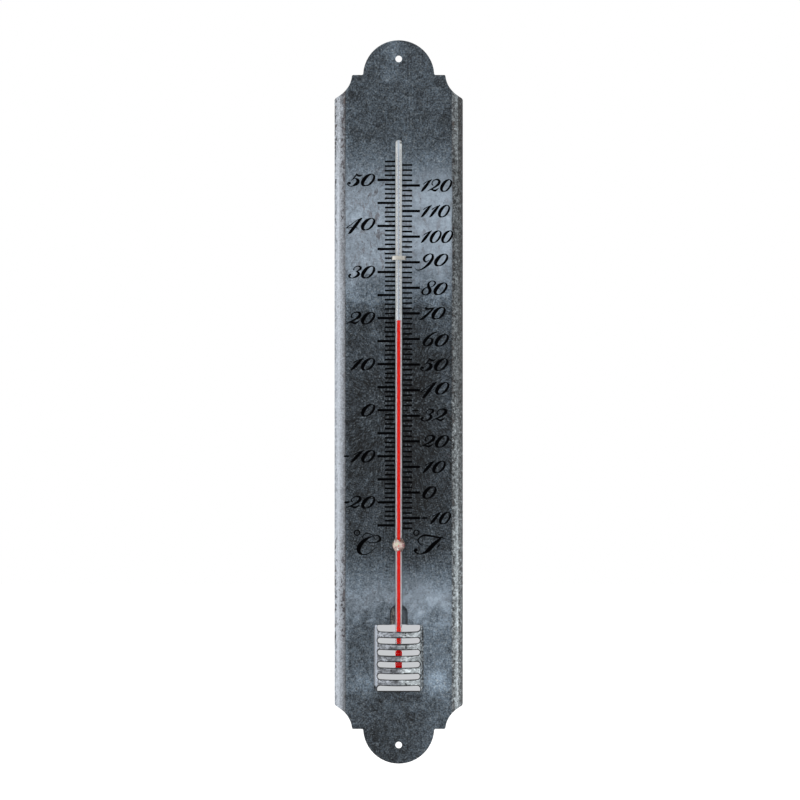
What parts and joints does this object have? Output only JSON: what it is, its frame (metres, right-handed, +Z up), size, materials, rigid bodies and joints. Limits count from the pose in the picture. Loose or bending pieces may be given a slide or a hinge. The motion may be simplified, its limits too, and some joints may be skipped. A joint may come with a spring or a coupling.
{
  "type": "wall thermometer",
  "caption": "Tall wall thermometer on a pressed zinc-coated sheet plate with round lobed ends, a red spirit glass tube, two printed scales and a louvred bulb guard.",
  "frame": {"origin": "midway between the two hanging holes, on the front face of the plate", "axes": "+Z up along the tube, +Y back towards the wall, +X to the right seen from the front"},
  "size_m": [0.089, 0.0158, 0.5],
  "materials": {
    "zinc_sheet": "patinated zinc coating with fine mottling, dull, paler along the middle and the bent edges",
    "clear_glass": "clear and glossy",
    "white_glass": "opaque milky white stripe",
    "red_spirit": "dyed red liquid, a little darker in the bulb",
    "cream_strap": "smooth cream",
    "cement": "dull hardened cement",
    "black_ink": "printed black ink"
  },
  "bodies": {
    "thermometer": {"backplate": "zinc_sheet", "bulb_guard": "zinc_sheet", "glass_tube": "clear_glass", "white_backing": "white_glass", "bulb_spirit": "red_spirit", "spirit_column": "red_spirit", "tube_strap": "cream_strap", "bead_cement": "cement", "celsius_marks": "black_ink", "fahrenheit_marks": "black_ink"},
    "liquid_level": {"spirit_top": "red_spirit"}
  },
  "joints": [
    {"name": "spirit_level", "type": "slide", "parent": "thermometer", "child": "liquid_level", "axis": [0, 0, 1], "range_m": [-0.1416, 0.1098], "deforming": ["spirit_column"]}
  ]
}
